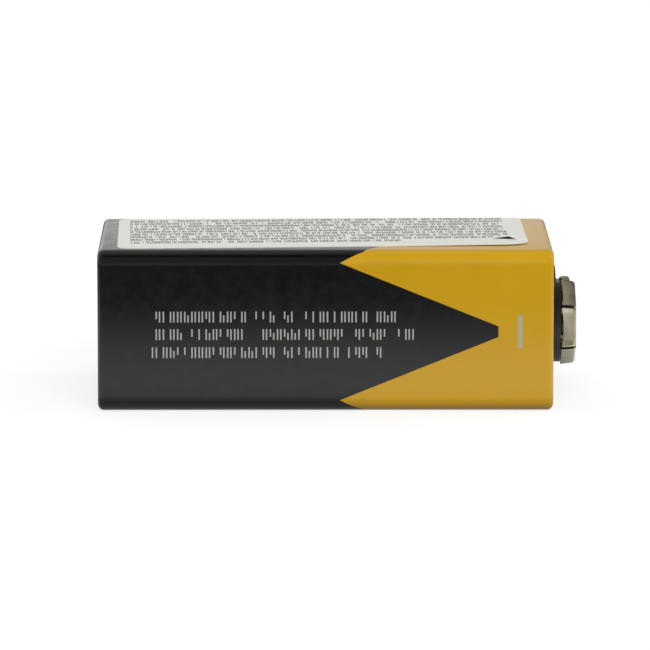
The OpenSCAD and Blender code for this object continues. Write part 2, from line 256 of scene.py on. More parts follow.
def yellow_field(tree, length, round_way):
    """1 on the yellow ink: a black point lies on each side, and a notch of yellow at each corner."""
    side_line, corner_line, wide_line = (
        add_node(tree, "ShaderNodeMath", {"operation": "MULTIPLY_ADD"}, {
            0: round_way, 1: 1 / slope, 2: along - place_round / slope}).outputs[0]
        for slope, along, place_round in (
            (SIDE_SLOPE, NOTCH_ALONG, NOTCH_ROUND),
            (CORNER_SLOPE, NOTCH_ALONG, NOTCH_ROUND),
            (WIDE_SLOPE, WIDE_ALONG, WIDE_ROUND)))
    climb = add_node(tree, "ShaderNodeMath", {"operation": "MINIMUM"}, {
        0: corner_line, 1: wide_line}).outputs[0]
    zigzag = add_node(tree, "ShaderNodeMath", {"operation": "MAXIMUM"}, {0: side_line, 1: climb}).outputs[0]
    edge = add_node(tree, "ShaderNodeMath", {"operation": "MINIMUM"}, {0: zigzag, 1: POINT_END}).outputs[0]
    past_edge = add_node(tree, "ShaderNodeMath", {"operation": "SUBTRACT"}, {0: length, 1: edge}).outputs[0]
    return add_node(tree, "ShaderNodeMapRange", {"clamp": True}, {
        "Value": past_edge, "From Min": -INK_SOFT, "From Max": INK_SOFT}).outputs[0]


def small_print_rows(tree, length, z):
    """1 on the strokes of the rows of small print."""
    lines = []
    for number, (row_z, row_end) in enumerate(PRINT_ROWS):
        up = add_node(tree, "ShaderNodeMapRange", {"clamp": False}, {
            "Value": z, "From Min": row_z - ROW_HALF, "From Max": row_z + ROW_HALF}).outputs[0]
        strokes = dummy_letters(
            tree, length, up, FIRST_ROW + number, PRINT_LETTER, PRINT_WEIGHT, PRINT_GAPS)
        reach = within(tree, length, (ROW_START + row_end) / 2, (row_end - ROW_START) / 2, ROW_END_SOFT)
        lines.append(both(tree, strokes, within(tree, z, row_z, ROW_HALF, ROW_SOFT), reach))
    return either(tree, *lines)


def pole_signs(tree, length, z, far):
    """1 on the bar of each narrow side, and on the stroke across it that makes the far one a plus."""
    middle = JACKET_MID.z / MM
    bar = both(tree, within(tree, length, MARK_ALONG, MARK_HALF, MARK_SOFT),
               within(tree, z, middle, MARK_LONG, MARK_SOFT))
    cross = both(tree, within(tree, z, middle, MARK_HALF, MARK_SOFT),
                 within(tree, length, MARK_ALONG, MARK_LONG, MARK_SOFT), far)
    return either(tree, bar, cross)


# Materials

def printed_lacquer():
    """Tinplate with printed lacquer: two flat inks under a clear gloss coat that mirrors at a low angle."""
    black, yellow = linear("#0A0B0B"), linear("#D4A40E")
    sign_grey, print_grey = linear("#B8B59C"), linear("#B6B7B1")
    material, tree, shader = new_material("printed_tinplate_gloss", IOR=1.5)
    point = place_in_mm(tree)
    x, y, z = add_node(tree, "ShaderNodeSeparateXYZ", inputs={0: point}).outputs[:3]
    length = add_node(tree, "ShaderNodeMath", {"operation": "SUBTRACT"}, {
        0: x, 1: JACKET_LOW.x / MM}).outputs[0]
    rise = add_node(tree, "ShaderNodeMath", {"operation": "SUBTRACT"}, {
        0: z, 1: JACKET_MID.z / MM}).outputs[0]
    height = add_node(tree, "ShaderNodeMath", {"operation": "ABSOLUTE"}, {0: rise}).outputs[0]
    side = add_node(tree, "ShaderNodeMath", {"operation": "ABSOLUTE"}, {0: y}).outputs[0]
    depth = add_node(tree, "ShaderNodeMath", {"operation": "SUBTRACT"}, {
        0: JACKET_HIGH.y / MM, 1: side}).outputs[0]

    # The small print and the signs of the poles lie on the narrow sides only
    narrow = add_node(tree, "ShaderNodeMath", {"operation": "LESS_THAN"}, {
        0: depth, 1: PRINT_DEPTH}).outputs[0]
    near = add_node(tree, "ShaderNodeMath", {"operation": "LESS_THAN"}, {0: y, 1: 0.0}).outputs[0]
    far = add_node(tree, "ShaderNodeMath", {"operation": "SUBTRACT"}, {0: 1.0, 1: near}).outputs[0]
    inks = tint(tree, yellow_field(tree, length, way_round(tree, height, depth)), black, yellow)
    signed = tint(tree, both(tree, pole_signs(tree, length, z, far), narrow), inks, sign_grey)
    small_print = both(tree, small_print_rows(tree, length, z), near, narrow)
    printed = tint(tree, small_print, signed, print_grey)

    # Ink is never quite even: it drifts by a few hundredths over some millimetres
    drift = spread(tree, grain(tree, point, size=5.0), low=0.975, high=1.025)
    uneven = add_node(tree, "ShaderNodeVectorMath", {"operation": "SCALE"}, {
        0: printed, "Scale": drift}).outputs[0]
    tree.links.new(uneven, shader.inputs["Base Color"])
    gloss = spread(tree, grain(tree, point, size=1.2, detail=3.0), low=0.16, high=0.24)
    tree.links.new(gloss, shader.inputs["Roughness"])
    # Orange peel of the coat, about a millimetre from crest to crest
    relief(tree, shader, grain(tree, point, size=0.9), depth=0.15e-6)
    return material


# The label, in mm: its size, how far it is turned, and its place from the frame
LABEL_SIZE = (41.8, 22.0)
LABEL_SKEW = math.radians(1.5)
label_low, label_high = (Vector(corner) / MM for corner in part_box("label"))
LABEL_CENTRE = ((label_low.x + label_high.x) / 2, (label_low.y + label_high.y) / 2)
LABEL_THICK = label_high.z - label_low.z
# The near edge was cut this far off square, and the ends lean by this much, in mm at the far edge
LABEL_TAPER = math.radians(1.8)
LABEL_LEAN = 0.25

# The label's small print, in mm: its lines, the lowest of which is short, and the margins round them
LABEL_ROWS = 9
LAST_ROW_END = 8.0
LEFT_MARGIN = 1.35
RIGHT_MARGIN = 1.75
FAR_MARGIN = 0.5
NEAR_MARGIN = 3.0
FIELD_SOFT = 0.02
LABEL_LETTER = 0.3
LABEL_WEIGHT = 0.17
LABEL_GAPS = 0.1
# Half the height of the letters, as a share of a line, and how soft they end above and below
LETTER_HALF = 0.38
LETTER_SOFT = 0.04
# Each line is set off by this part of a letter from the one below it, so that no columns show
STAGGER = 0.37


def label_paper():
    """Coated paper with grey small print: bright, faintly fibrous, with a soft sheen."""
    material, tree, shader = new_material("coated_label_paper", IOR=1.45)
    point = place_in_mm(tree)
    centred = add_node(tree, "ShaderNodeMapping", {"vector_type": "POINT"}, {
        "Vector": point, "Location": (-LABEL_CENTRE[0], -LABEL_CENTRE[1], 0.0)}).outputs[0]
    level = add_node(tree, "ShaderNodeVectorRotate", {"rotation_type": "Z_AXIS"}, {
        "Vector": centred, "Angle": -LABEL_SKEW}).outputs[0]
    along, level_y = add_node(tree, "ShaderNodeSeparateXYZ", inputs={0: level}).outputs[:2]

    # The lines run with the near edge, which isn't square to the ends
    half_x, half_y = LABEL_SIZE[0] / 2, LABEL_SIZE[1] / 2
    across = add_node(tree, "ShaderNodeMath", {"operation": "MULTIPLY_ADD"}, {
        0: along, 1: -math.tan(LABEL_TAPER), 2: level_y}).outputs[0]
    first_line = -half_y + half_x * math.tan(LABEL_TAPER) + NEAR_MARGIN
    top_line = half_y - FAR_MARGIN
    line_height = (top_line - first_line) / LABEL_ROWS
    lines = add_node(tree, "ShaderNodeMapRange", {"clamp": False}, {
        "Value": across, "From Min": first_line, "From Max": first_line + line_height}).outputs[0]
    row = add_node(tree, "ShaderNodeMath", {"operation": "FLOOR"}, {0: lines}).outputs[0]
    in_line = add_node(tree, "ShaderNodeMath", {"operation": "SUBTRACT"}, {0: lines, 1: row}).outputs[0]
    up = add_node(tree, "ShaderNodeMapRange", {"clamp": False}, {
        "Value": in_line, "From Min": 0.5 - LETTER_HALF, "From Max": 0.5 + LETTER_HALF}).outputs[0]
    staggered = add_node(tree, "ShaderNodeMath", {"operation": "MULTIPLY_ADD"}, {
        0: row, 1: LABEL_LETTER * STAGGER, 2: along}).outputs[0]
    strokes = dummy_letters(tree, staggered, up, row, LABEL_LETTER, LABEL_WEIGHT, LABEL_GAPS)

    before_end = add_node(tree, "ShaderNodeMath", {"operation": "LESS_THAN"}, {
        0: along, 1: LAST_ROW_END}).outputs[0]
    field = both(
        tree,
        within(tree, along, (LEFT_MARGIN - RIGHT_MARGIN) / 2,
               half_x - (LEFT_MARGIN + RIGHT_MARGIN) / 2, FIELD_SOFT),
        within(tree, across, (first_line + top_line) / 2, (top_line - first_line) / 2, FIELD_SOFT),
        either(tree, over(tree, lines, 1.0), before_end))
    printed = both(tree, strokes, within(tree, in_line, 0.5, LETTER_HALF, LETTER_SOFT), field)
    colour = tint(tree, printed, linear("#F3F4EB"), linear("#6C6D68"))
    tree.links.new(colour, shader.inputs["Base Color"])
    sheen = spread(tree, grain(tree, point, size=0.4), low=0.42, high=0.55)
    tree.links.new(sheen, shader.inputs["Roughness"])
    # Paper fibre, drawn a little coarser than it is so that it shows
    relief(tree, shader, grain(tree, point, size=0.25, detail=4.0), depth=1.5e-6)
    return material


def moulded_plastic():
    """Black ABS from a spark-eroded mould: deep, with a fine even grain that breaks the highlight."""
    material, tree, shader = new_material("moulded_black_abs", IOR=1.53)
    point = place_in_mm(tree)
    colour = tint(tree, grain(tree, point, size=1.5), linear("#191713"), linear("#26221B"))
    tree.links.new(colour, shader.inputs["Base Color"])
    rough = spread(tree, grain(tree, point, size=0.3), low=0.42, high=0.58)
    tree.links.new(rough, shader.inputs["Roughness"])
    relief(tree, shader, grain(tree, point, size=0.12, detail=3.0), depth=4e-6)
    return material


def plated_metal(name, dark, light, low, high, brush=1.0):
    """Bright plating over pressed sheet: a metal whose gloss drifts where it was drawn or handled.

    low and high are the limits of its roughness. brush is less than 1 where the grain is drawn out along the
    battery.
    """
    material, tree, shader = new_material(name, Metallic=1.0)
    point = place_in_mm(tree)
    drawn = add_node(tree, "ShaderNodeVectorMath", {"operation": "MULTIPLY"}, {
        0: point, 1: (brush, 1.0, 1.0)}).outputs[0]
    stain = spread(tree, grain(tree, drawn, size=1.6, detail=3.0), low=0.0, high=1.0)
    tree.links.new(tint(tree, stain, linear(dark), linear(light)), shader.inputs["Base Color"])
    tree.links.new(spread(tree, grain(tree, drawn, size=0.8), low, high), shader.inputs["Roughness"])
    relief(tree, shader, grain(tree, drawn, size=0.6), depth=0.25e-6)
    return material


def pressed_card():
    """Grey-brown pressed card: matt, speckled with fibre."""
    material, tree, shader = new_material("pressed_card", Roughness=0.9)
    point = place_in_mm(tree)
    fibre = spread(tree, grain(tree, point, size=0.35, detail=5.0), low=0.0, high=1.0)
    colour = tint(tree, fibre, linear("#8C7A5C"), linear("#B7A684"))
    tree.links.new(colour, shader.inputs["Base Color"])
    relief(tree, shader, grain(tree, point, size=0.2, detail=4.0), depth=8e-6)
    return material


def soft_plastic(name, dark, light, rough):
    """Moulded nylon or thin film: even colour with a faint milky drift."""
    material, tree, shader = new_material(name, Roughness=rough, IOR=1.5)
    point = place_in_mm(tree)
    colour = tint(tree, grain(tree, point, size=1.0), linear(dark), linear(light))
    tree.links.new(colour, shader.inputs["Base Color"])
    relief(tree, shader, grain(tree, point, size=0.5), depth=2e-6)
    return material


def coat(piece, material):
    piece.data.materials.clear()
    piece.data.materials.append(material)


# Helpers for modelling

# Angles between faces: up to the first they are one flat face, over the second their edge is rounded, and
# under the third they are shaded as one
FLAT = math.radians(0.5)
SHARP = math.radians(30)
SMOOTH = math.radians(35)
ROUNDING_STEPS = 2


def start_piece(name, add_primitive, **settings):
    """Adds a primitive with nothing else selected and leaves it open in edit mode."""
    bpy.ops.object.select_all(action="DESELECT")
    add_primitive(**settings)
    piece = bpy.context.object
    piece.name = name
    bpy.ops.object.mode_set(mode="EDIT")
    return piece


def start_copy(node, name):
    """A copy of a frame's node with a mesh of its own, its loose triangles merged, left open in edit mode."""
    bpy.ops.object.select_all(action="DESELECT")
    piece = nodes[node].copy()
    piece.data = piece.data.copy()
    piece.name = name
    bpy.context.scene.collection.objects.link(piece)
    piece.select_set(True)
    bpy.context.view_layer.objects.active = piece
    bpy.ops.object.mode_set(mode="EDIT")
    bpy.ops.mesh.select_all(action="SELECT")
    bpy.ops.mesh.remove_doubles(threshold=CLOSE * MM)
    bpy.ops.mesh.dissolve_limited(angle_limit=FLAT)
    return piece


def select_edges(piece, wanted):
    """Selects the edges for which wanted(one end, other end) holds, with both ends in mm."""
    bpy.ops.mesh.select_all(action="DESELECT")
    bpy.ops.mesh.select_mode(type="EDGE")
    mesh = bmesh.from_edit_mesh(piece.data)
    for edge in mesh.edges:
        edge.select_set(wanted(*(corner.co / MM for corner in edge.verts)))
    mesh.select_flush_mode()
    bmesh.update_edit_mesh(piece.data)


def select_faces(piece, wanted):
    """Selects the faces for which wanted(middle, normal) holds, with the middle in mm."""
    bpy.ops.mesh.select_all(action="DESELECT")
    bpy.ops.mesh.select_mode(type="FACE")
    mesh = bmesh.from_edit_mesh(piece.data)
    for face in mesh.faces:
        face.select_set(wanted(face.calc_center_median() / MM, face.normal))
    mesh.select_flush_mode()
    bmesh.update_edit_mesh(piece.data)


def cut_open(place, normal):
    """Cuts the whole piece open along a plane through a place in mm."""
    bpy.ops.mesh.select_all(action="SELECT")
    bpy.ops.mesh.bisect(plane_co=[part * MM for part in place], plane_no=normal)


def cut_across(axis, place):
    """Cuts the whole piece open across one axis, at a place in mm."""
    normal = [0, 0, 0]
    normal[axis] = 1
    cut_open([n * place for n in normal], normal)


def give_wall(piece, thickness, offset):
    """Turns a surface into a wall. offset is -1 where the wall grows inwards, and 1 outwards."""
    wall = piece.modifiers.new("wall", "SOLIDIFY")
    wall.thickness = thickness * MM
    wall.offset = offset
    wall.use_even_offset = True
    bpy.ops.object.modifier_apply(modifier=wall.name)


def round_edges(piece, radius):
    """Rounds every sharp edge, as pressing or moulding leaves it."""
    bpy.ops.object.mode_set(mode="OBJECT")
    rounding = piece.modifiers.new("rounding", "BEVEL")
    rounding.width = radius * MM
    rounding.segments = ROUNDING_STEPS
    rounding.limit_method = "ANGLE"
    rounding.angle_limit = SHARP
    bpy.ops.object.modifier_apply(modifier=rounding.name)
    bpy.ops.object.shade_smooth_by_angle(angle=SMOOTH)


def take_place(piece, node, finish):
    """Coats a finished piece and puts it in the place of a node of the frame."""
    coat(piece, finish)
    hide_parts(node)
    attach(piece, "root")


def eased(part):
    """A smooth step from 0 to 1."""
    part = min(max(part, 0.0), 1.0)
    return part * part * (3 - 2 * part)


# The jacket: a tube of tinplate whose long corners are bent and whose ends are curled inwards

def jacket_shell(finish):
    middle_z, back, length = JACKET_MID.z / MM, JACKET_HIGH.y / MM, JACKET_SIZE.x / MM
    shell = start_piece("jacket_shell", bpy.ops.mesh.primitive_cube_add, size=MM)
    bpy.ops.transform.resize(value=JACKET_SIZE / MM)
    bpy.ops.transform.translate(value=JACKET_MID)
    select_edges(shell, lambda a, b: abs(a.x - b.x) > length / 2)
    bpy.ops.mesh.bevel(offset=CORNER_RADIUS * MM, segments=CORNER_STEPS, affect="EDGES")
    select_edges(shell, lambda a, b: abs(a.x - b.x) < length / 2)
    bpy.ops.mesh.bevel(offset=CURL_RADIUS * MM, segments=CURL_STEPS, affect="EDGES")
    select_faces(shell, lambda middle, normal: abs(normal.x) > FACING)
    bpy.ops.mesh.inset(thickness=(LIP_REACH - CURL_RADIUS) * MM, use_individual=True)
    bpy.ops.mesh.delete(type="FACE")
    bpy.ops.object.mode_set(mode="OBJECT")
    give_wall(shell, SHEET_THICK, -1)

    # The edges of the sheet meet in a shallow groove along the far narrow side
    bpy.ops.object.mode_set(mode="EDIT")
    for side in (-1, 1):
        cut_across(2, middle_z + side * SEAM_WIDTH / 2)
    select_faces(shell, lambda middle, normal: (
        abs(middle.z - middle_z) < SEAM_WIDTH / 2 and middle.y > back - SEAM_DEPTH and normal.y > FACING))
    bpy.ops.mesh.extrude_region_move(TRANSFORM_OT_translate={"value": (0, -SEAM_DEPTH * MM, 0)})
    bpy.ops.object.mode_set(mode="OBJECT")
    bpy.ops.object.shade_smooth_by_angle(angle=SMOOTH)
    take_place(shell, "jacket", finish)


# The label: a sheet of coated paper with round corners, slit and lifted a little near the terminals

LABEL_CORNER = 1.2
WORN_CORNER = 2.4
LABEL_CORNER_STEPS = 6
LABEL_SMOOTH = math.radians(25)
# The slit, in mm from the label's middle, with its slope, and the flap behind it: it rises from its start to
# its crest, falls three times as fast, and stays a little open up to the label's end
SLIT_START = (16.7, -5.6)
SLIT_SLOPE = -0.35
FLAP_CREST = 19.1
FLAP_LIFT = 0.36
FLAP_FALL = 3
FLAP_OPEN = 0.06
FLAP_DEPTH = 3.0
FLAP_STEPS = 8
# Cuts near the far edge, where the label bends down with the jacket
BEND_DEPTH = 1.2
BEND_STEPS = 6
# The strip in front of the slit has come unstuck along the near edge
STRIP_FROM = 3.0
STRIP_LIFT = 0.1
STRIP_DEPTH = 3.5
STRIP_STEPS = 6


def flap_height(along):
    """How far the flap stands up at its slit, at a place along the label."""
    climb = (along - SLIT_START[0]) / (FLAP_CREST - SLIT_START[0])
    if climb <= 1:
        return FLAP_LIFT * max(climb, 0)
    return max(FLAP_OPEN, FLAP_LIFT * (1 - FLAP_FALL * (climb - 1)))


def past_slit(x, y):
    """How far a point of the label lies behind the line of the slit."""
    return y - SLIT_START[1] - SLIT_SLOPE * (x - SLIT_START[0])


def round_label_corners(sheet, half_x, half_y):
    """Three corners are as cut, and the one by the loose strip is worn rounder."""
    for worn, radius in ((False, LABEL_CORNER), (True, WORN_CORNER)):
        bpy.ops.mesh.select_all(action="DESELECT")
        bpy.ops.mesh.select_mode(type="VERT")
        mesh = bmesh.from_edit_mesh(sheet.data)
        for corner in mesh.verts:
            at_strip = corner.co.x / MM > half_x - CLOSE and corner.co.y / MM < -half_y + CLOSE
            corner.select_set(at_strip == worn)
        bmesh.update_edit_mesh(sheet.data)
        bpy.ops.mesh.bevel(offset=radius * MM, segments=LABEL_CORNER_STEPS, affect="VERTICES")


def cut_label(sheet, half_x, half_y):
    """Cuts where the label is going to bend, and the slit, whose two sides come apart."""
    for step in range(STRIP_STEPS):
        cut_across(0, STRIP_FROM + step * (SLIT_START[0] - STRIP_FROM) / STRIP_STEPS)
        cut_across(1, -half_y + (step + 1) * STRIP_DEPTH / STRIP_STEPS)
    for step in range(BEND_STEPS):
        cut_across(1, half_y - (step + 1) * BEND_DEPTH / BEND_STEPS)
    for step in range(FLAP_STEPS + 1):
        cut_across(0, SLIT_START[0] + step * (half_x - SLIT_START[0]) / (FLAP_STEPS + 1))
    for step in range(FLAP_STEPS + 1):
        cut_open((SLIT_START[0], SLIT_START[1] + step * FLAP_DEPTH / FLAP_STEPS, 0), (-SLIT_SLOPE, 1, 0))
    select_edges(sheet, lambda a, b: (
        abs(past_slit(a.x, a.y)) + abs(past_slit(b.x, b.y)) < CLOSE and (a.x + b.x) / 2 > SLIT_START[0]))
    bpy.ops.mesh.edge_split(type="EDGE")


def lift_label(sheet, half_x, half_y):
    """Lifts the flap and the loose strip, and draws the near edge and the ends off square."""
    mesh = bmesh.from_edit_mesh(sheet.data)
    flap = {corner for face in mesh.faces for corner in face.verts
            if past_slit(*(face.calc_center_median() / MM).xy) > 0}
    for corner in mesh.verts:
        x, y = corner.co.x / MM, corner.co.y / MM
        to_far_edge = (y + half_y) / (2 * half_y)
        if corner in flap:
            lift = flap_height(x) * eased(1 - past_slit(x, y) / FLAP_DEPTH)
        else:
            loose = eased((x - STRIP_FROM) / (half_x - STRIP_FROM))
            lift = STRIP_LIFT * loose * eased(1 - (y + half_y) / STRIP_DEPTH)
        corner.co.z += lift * MM
        corner.co.y += (x + half_x) * math.tan(LABEL_TAPER) * (1 - to_far_edge) * MM
        corner.co.x += LABEL_LEAN * to_far_edge * MM
    bmesh.update_edit_mesh(sheet.data)


def bend_label(sheet):
    """Past the flat of the jacket the label follows the round of its corner."""
    flat_end = JACKET_HIGH.y / MM - CORNER_RADIUS
    mesh = bmesh.from_edit_mesh(sheet.data)
    for corner in mesh.verts:
        past = corner.co.y / MM - flat_end
        if past > 0:
            corner.co.z -= (CORNER_RADIUS - math.sqrt(CORNER_RADIUS ** 2 - past ** 2)) * MM
    bmesh.update_edit_mesh(sheet.data)


def label_sheet(finish):
    half_x, half_y = LABEL_SIZE[0] / 2, LABEL_SIZE[1] / 2
    sheet = start_piece("label_sheet", bpy.ops.mesh.primitive_plane_add, size=MM)
    bpy.ops.transform.resize(value=(LABEL_SIZE[0], LABEL_SIZE[1], 1))
    round_label_corners(sheet, half_x, half_y)
    cut_label(sheet, half_x, half_y)
    lift_label(sheet, half_x, half_y)
    bpy.ops.object.mode_set(mode="OBJECT")
    give_wall(sheet, LABEL_THICK, 1)
    bpy.ops.object.mode_set(mode="EDIT")
    bpy.ops.mesh.select_all(action="SELECT")
    bpy.ops.transform.rotate(value=-LABEL_SKEW, orient_axis="Z", center_override=(0, 0, 0))
    bpy.ops.transform.translate(value=(LABEL_CENTRE[0] * MM, LABEL_CENTRE[1] * MM, label_low.z * MM))
    bpy.ops.mesh.normals_make_consistent(inside=False)
    bend_label(sheet)
    bpy.ops.object.mode_set(mode="OBJECT")
    bpy.ops.object.shade_smooth_by_angle(angle=LABEL_SMOOTH)
    take_place(sheet, "label", finish)


# The terminals and the board: pressed and moulded pieces with soft edges, over the frame's own forms

PETALS = 6
# Radius of the soft edges, in mm
TERMINAL_EDGE = 0.05
BOARD_EDGE = 0.08
BOTTOM_EDGE = 0.15
# In mm, as the frame has them: height of the petals, and rise of the arch at their free edge
PETAL_HEIGHT = 1.5
PETAL_ARCH = 0.2
# What lies lower than the top of the arch and this much more is the free edge, where the lower petals lose
# this share of the arch
OVER_ARCH = 0.02
FLATTER = 0.7
# Each petal is turned a little outwards along its slits: by how much, how far to each side of the slit, the
# cuts there, and how far below the top the flare begins and how much further down it is full
FLARE = 0.16
FLARE_WIDTH = 0.65
FLARE_CUTS = (0.3, 0.5, 0.75)
FLARE_BELOW_TOP = 0.25
FLARE_GROWTH = 0.7
# What is nearer to the axis than this, such as the throat, keeps its form
THROAT_REACH = 3.2


def snap_socket(finish):
    socket = start_copy("negative_socket", "snap_socket")
    low, high = (Vector(corner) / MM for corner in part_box("negative_socket"))
    axis_y, axis_z = (low.y + high.y) / 2, (low.z + high.z) / 2
    # The slits stand at the corners of the crown, half a side off the petal that faces the near side
    turns = [math.radians(360 * (petal + 0.5) / PETALS) for petal in range(PETALS)]
    slits = [Vector((math.cos(turn), math.sin(turn))) for turn in turns]
    # A cut goes through the whole crown, so that half of the slits are enough
    for slit in slits[:PETALS // 2]:
        for offset in FLARE_CUTS:
            for aside in (-offset, offset):
                cut_open((0, axis_y - slit.y * aside, axis_z + slit.x * aside), (0, -slit.y, slit.x))

    mesh = bmesh.from_edit_mesh(socket.data)
    for corner in mesh.verts:
        x = corner.co.x / MM
        place = Vector((corner.co.y / MM - axis_y, corner.co.z / MM - axis_z))
        if place.length < THROAT_REACH:
            continue
        slit = max(slits, key=place.dot)
        off = abs(place.x * slit.y - place.y * slit.x)
        out = FLARE * eased(1 - off / FLARE_WIDTH) * eased((high.x - x - FLARE_BELOW_TOP) / FLARE_GROWTH)
        over_foot = x - (high.x - PETAL_HEIGHT)
        if over_foot < PETAL_ARCH + OVER_ARCH and place.y < -place.length / 2:
            corner.co.x -= FLATTER * max(over_foot, 0) * MM
        corner.co.y += slit.x * out * MM
        corner.co.z += slit.y * out * MM
    bmesh.update_edit_mesh(socket.data)
    round_edges(socket, TERMINAL_EDGE)
    take_place(socket, "negative_socket", finish)


def soft_edged(node, name, radius, finish):
    """A node of the frame with its edges rounded by a radius in mm."""
    piece = start_copy(node, name)
    round_edges(piece, radius)
    take_place(piece, node, finish)


# Finishes of the pieces that come from the frame

def finish_nodes():
    """Gives each node its finish, and returns the finishes by the record's slots."""
    finishes = {
        "printed_jacket": printed_lacquer(),
        "label_film": label_paper(),
        "black_cover": moulded_plastic(),
        "nickel_terminal": plated_metal("nickel_plated_steel", "#A39C86", "#C5BDA5", low=0.2, high=0.3),
        "tinned_rivet": plated_metal("tinned_brass", "#9A958A", "#C2BFB6", low=0.25, high=0.4),
        "nickel_strip": plated_metal(
            "rolled_nickel_strip", "#A5A49E", "#C6C5BF", low=0.25, high=0.4, brush=0.2),
        "card": pressed_card(),
        "sleeve_film": soft_plastic("pvc_sleeve_film", "#DADAD3", "#ECECE6", rough=0.35),
        "cell_steel": plated_metal(
            "drawn_can_steel", "#9D9D9A", "#BDBDB9", low=0.22, high=0.36, brush=0.15),
        "seal_nylon": soft_plastic("moulded_nylon", "#20407F", "#2C529A", rough=0.45),
    }
    for subpart in frame["record"]["subparts"]:
        coat(nodes[subpart["node"]], finishes[subpart["material_slot"]])
    return finishes


# The setting

FOCAL_MM = 360.0
SENSOR_MM = 36.0
# In metres
CLIP_START = 0.05
# The camera stands this far from what it is aimed at, and this much over the floor and off square
CAMERA_DISTANCE = 0.6561
CAMERA_RISE = math.radians(8.62)
CAMERA_SIDE = math.radians(-0.35)
AIM_ASIDE = -0.066 * MM
AIM_HEIGHT = 8.9 * MM
AIM = Vector((JACKET_MID.x + AIM_ASIDE, JACKET_LOW.y, AIM_HEIGHT))


def place_camera():
    data = bpy.data.cameras.new("camera")
    data.lens = FOCAL_MM
    data.sensor_width = SENSOR_MM
    data.clip_start = CLIP_START
    camera = bpy.data.objects.new("camera", data)
    bpy.context.scene.collection.objects.link(camera)
    away = Vector((math.sin(CAMERA_SIDE) * math.cos(CAMERA_RISE),
                   -math.cos(CAMERA_SIDE) * math.cos(CAMERA_RISE), math.sin(CAMERA_RISE)))
    camera.location = AIM + away * CAMERA_DISTANCE
    camera.rotation_euler = (-away).to_track_quat("-Z", "Y").to_euler()
    bpy.context.scene.camera = camera


def softbox(name, place, aim, size, power):
    """A large soft lamp that doesn't show in gloss, where only the room and the floor do."""
    data = bpy.data.lights.new(name, "AREA")
    data.shape = "RECTANGLE"
    data.size, data.size_y = size
    data.energy = power
    lamp = bpy.data.objects.new(name, data)
    bpy.context.scene.collection.objects.link(lamp)
    lamp.visible_glossy = False
    lamp.location = place
    lamp.rotation_euler = (Vector(aim) - Vector(place)).to_track_quat("-Z", "Y").to_euler()


# In metres
FLOOR_SIZE = 3.0
# The floor lies this far under the part, so that the two never share a plane
FLOOR_DROP = 0.01 * MM
# What the camera sees of the floor glows this much over its own shade, and comes out white
FLOOR_GLOW = 0.74
# Reach of the lit paper that shows in gloss, in metres from the middle of the battery, and its brightness
# there and far away. It reaches further along the battery than across it
POOL_FULL = 0.033
POOL_END = 0.105
POOL_BRIGHT = 1.15
POOL_LAST = 0.06
POOL_STRETCH = 2.0
# Close to the battery the paper lies in its shadow
CONTACT_END = 0.011
CONTACT_DARK = 0.42


def floor_in_gloss(tree):
    """Brightness of the paper as gloss shows it: white round the battery, dim at its foot, dark far out."""
    point = add_node(tree, "ShaderNodeTexCoord").outputs["Object"]
    oval = add_node(tree, "ShaderNodeVectorMath", {"operation": "MULTIPLY"}, {
        0: point, 1: (1 / POOL_STRETCH, 1, 0)}).outputs[0]
    away = add_node(tree, "ShaderNodeVectorMath", {"operation": "LENGTH"}, {0: oval}).outputs["Value"]
    pool = add_node(tree, "ShaderNodeMapRange", {"interpolation_type": "SMOOTHSTEP"}, {
        "Value": away, "From Min": POOL_END, "From Max": POOL_FULL,
        "To Min": POOL_LAST, "To Max": POOL_BRIGHT}).outputs[0]
    off = add_node(tree, "ShaderNodeVectorMath", {"operation": "SUBTRACT"}, {
        0: point, 1: (JACKET_MID.x, JACKET_MID.y, 0)}).outputs[0]
    beside = add_node(tree, "ShaderNodeVectorMath", {"operation": "ABSOLUTE"}, {0: off}).outputs[0]
    outside = add_node(tree, "ShaderNodeVectorMath", {"operation": "SUBTRACT"}, {
        0: beside, 1: (JACKET_SIZE.x / 2, JACKET_SIZE.y / 2, 1)}).outputs[0]
    gap = add_node(tree, "ShaderNodeVectorMath", {"operation": "MAXIMUM"}, {
        0: outside, 1: (0, 0, 0)}).outputs[0]
    distance = add_node(tree, "ShaderNodeVectorMath", {"operation": "LENGTH"}, {0: gap}).outputs["Value"]
    contact = add_node(tree, "ShaderNodeMapRange", {"interpolation_type": "SMOOTHSTEP"}, {
        "Value": distance, "From Min": 0.0, "From Max": CONTACT_END, "To Min": CONTACT_DARK}).outputs[0]
    return both(tree, pool, contact)


def paper_floor():
    """A white sheet. The camera sees it as white, with the shadow of the battery kept."""
    floor = start_piece("floor", bpy.ops.mesh.primitive_plane_add, size=FLOOR_SIZE)
    bpy.ops.transform.translate(value=(0, 0, -FLOOR_DROP))
    bpy.ops.object.mode_set(mode="OBJECT")
    material, tree, shader = new_material(
        "matt_paper_floor", Base_Color=linear("#A6A6A3"), Roughness=0.9, Specular_IOR_Level=0.0)
    path = add_node(tree, "ShaderNodeLightPath")
    pale = add_node(tree, "ShaderNodeBsdfDiffuse", inputs={"Color": linear("#A0A09E")})
    glow = add_node(tree, "ShaderNodeEmission", inputs={"Strength": FLOOR_GLOW})
    lit = add_node(tree, "ShaderNodeAddShader", inputs={0: pale.outputs[0], 1: glow.outputs[0]})
    seen = add_node(tree, "ShaderNodeMixShader", inputs={
        0: path.outputs["Is Camera Ray"], 1: shader.outputs[0], 2: lit.outputs[0]})
    mirrored = add_node(tree, "ShaderNodeEmission", inputs={"Strength": floor_in_gloss(tree)})
    surface = add_node(tree, "ShaderNodeMixShader", inputs={
        0: path.outputs["Is Glossy Ray"], 1: seen.outputs[0], 2: mirrored.outputs[0]})
    tree.links.new(surface.outputs[0], tree.nodes["Material Output"].inputs["Surface"])
    coat(floor, material)


